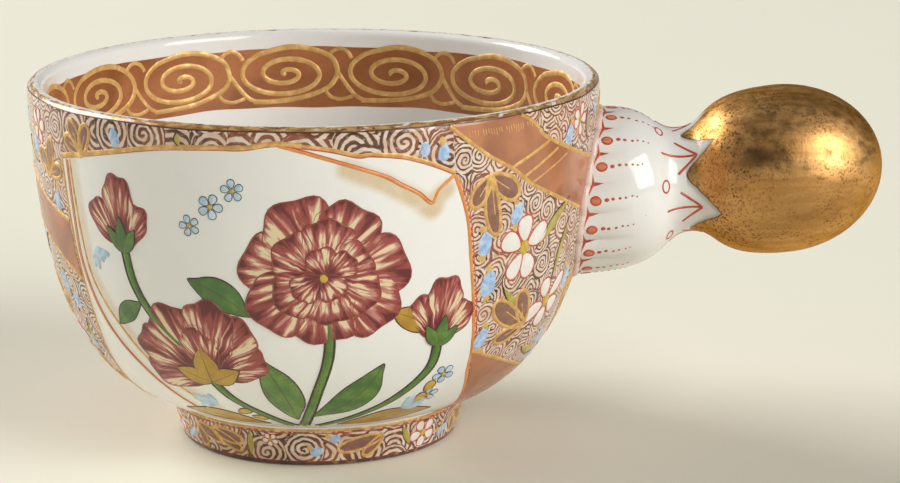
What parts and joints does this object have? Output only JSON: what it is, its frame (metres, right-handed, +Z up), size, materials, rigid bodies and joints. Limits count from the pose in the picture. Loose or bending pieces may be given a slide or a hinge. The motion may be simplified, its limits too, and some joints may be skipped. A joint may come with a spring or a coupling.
{
  "type": "espresso cup",
  "caption": "Small porcelain coffee cup: a round bowl on a foot ring, held by a lobed collar with a gilded hollow ball as its handle.",
  "frame": {"origin": "middle of the bounding box's underside, on the table plane; the bowl's own axis stands at x = -17.4 mm", "axes": "+X towards the ball at the handle's end, +Z up out of the bowl's mouth"},
  "size_m": [0.1047, 0.0698, 0.0449],
  "materials": {
    "bowl_glaze": "clear-glazed white porcelain with enamel painting and gilding",
    "foot_enamel": "white porcelain covered with an enamelled brocade ground",
    "collar_glaze": "clear-glazed white porcelain with fine iron-red lines",
    "slip_glaze": "glazed luting slip, tinted pale pink",
    "ball_gilding": "porcelain under burnished gold, worn and speckled"
  },
  "bodies": {
    "root": {"bowl": "bowl_glaze", "foot_ring": "foot_enamel", "handle_collar": "collar_glaze", "slip_bead": "slip_glaze", "ball_knob": "ball_gilding"}
  },
  "joints": []
}
